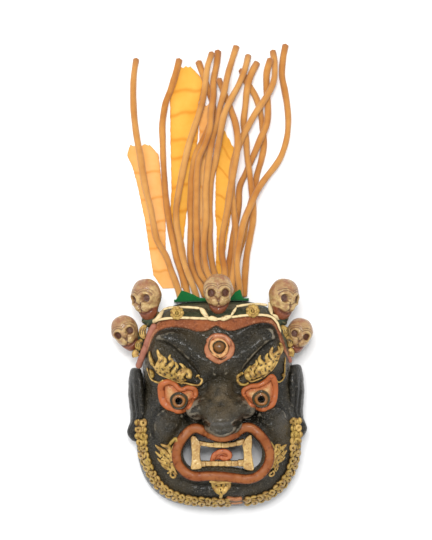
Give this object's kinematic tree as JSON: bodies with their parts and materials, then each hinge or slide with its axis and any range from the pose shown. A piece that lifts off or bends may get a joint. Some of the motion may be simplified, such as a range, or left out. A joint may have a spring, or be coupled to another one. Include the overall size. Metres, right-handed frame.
{
  "type": "ceremonial dance mask",
  "caption": "Carved and painted wooden wrathful dance mask with a third eye, an open toothed mouth, a skull crown, green felt hair root and loose yellow cloth cords.",
  "frame": {"origin": "centre of the outline, without the loose cords, on the plane that the mask's back rim lies on", "axes": "+Z the way the face looks, up from the surface; +Y from the chin to the crown and the laid-out hair; +X towards the wearer's left ear, at the right of a person facing the mask"},
  "size_m": [0.3052, 0.7155, 0.1555],
  "materials": {
    "black_painted_wood": "worn, slightly glossy black paint with gold, red and cream painted carving",
    "painted_skull_wood": "cream-tan paint, worn, with brown-red lines and red jaws",
    "green_felt": "matte wool felt",
    "orange_cloth_cord": "rolled and stuffed cotton cloth",
    "pale_ribbon_cloth": "thin creased cotton",
    "yellow_ribbon_cloth": "thin creased cotton"
  },
  "bodies": {
    "root": {"mask": "black_painted_wood", "skull_centre": "painted_skull_wood", "skull_upper_left": "painted_skull_wood", "skull_upper_right": "painted_skull_wood", "skull_lower_left": "painted_skull_wood", "skull_lower_right": "painted_skull_wood", "hair_felt": "green_felt", "cord_01": "orange_cloth_cord", "cord_02": "orange_cloth_cord", "cord_03": "orange_cloth_cord", "cord_04": "orange_cloth_cord", "cord_05": "orange_cloth_cord", "cord_06": "orange_cloth_cord", "cord_07": "orange_cloth_cord", "cord_08": "orange_cloth_cord", "cord_09": "orange_cloth_cord", "cord_10": "orange_cloth_cord", "cord_11": "orange_cloth_cord", "cord_12": "orange_cloth_cord", "cord_13": "orange_cloth_cord", "ribbon_left": "pale_ribbon_cloth", "ribbon_tall": "yellow_ribbon_cloth", "ribbon_middle": "pale_ribbon_cloth", "ribbon_right": "yellow_ribbon_cloth"}
  },
  "joints": []
}
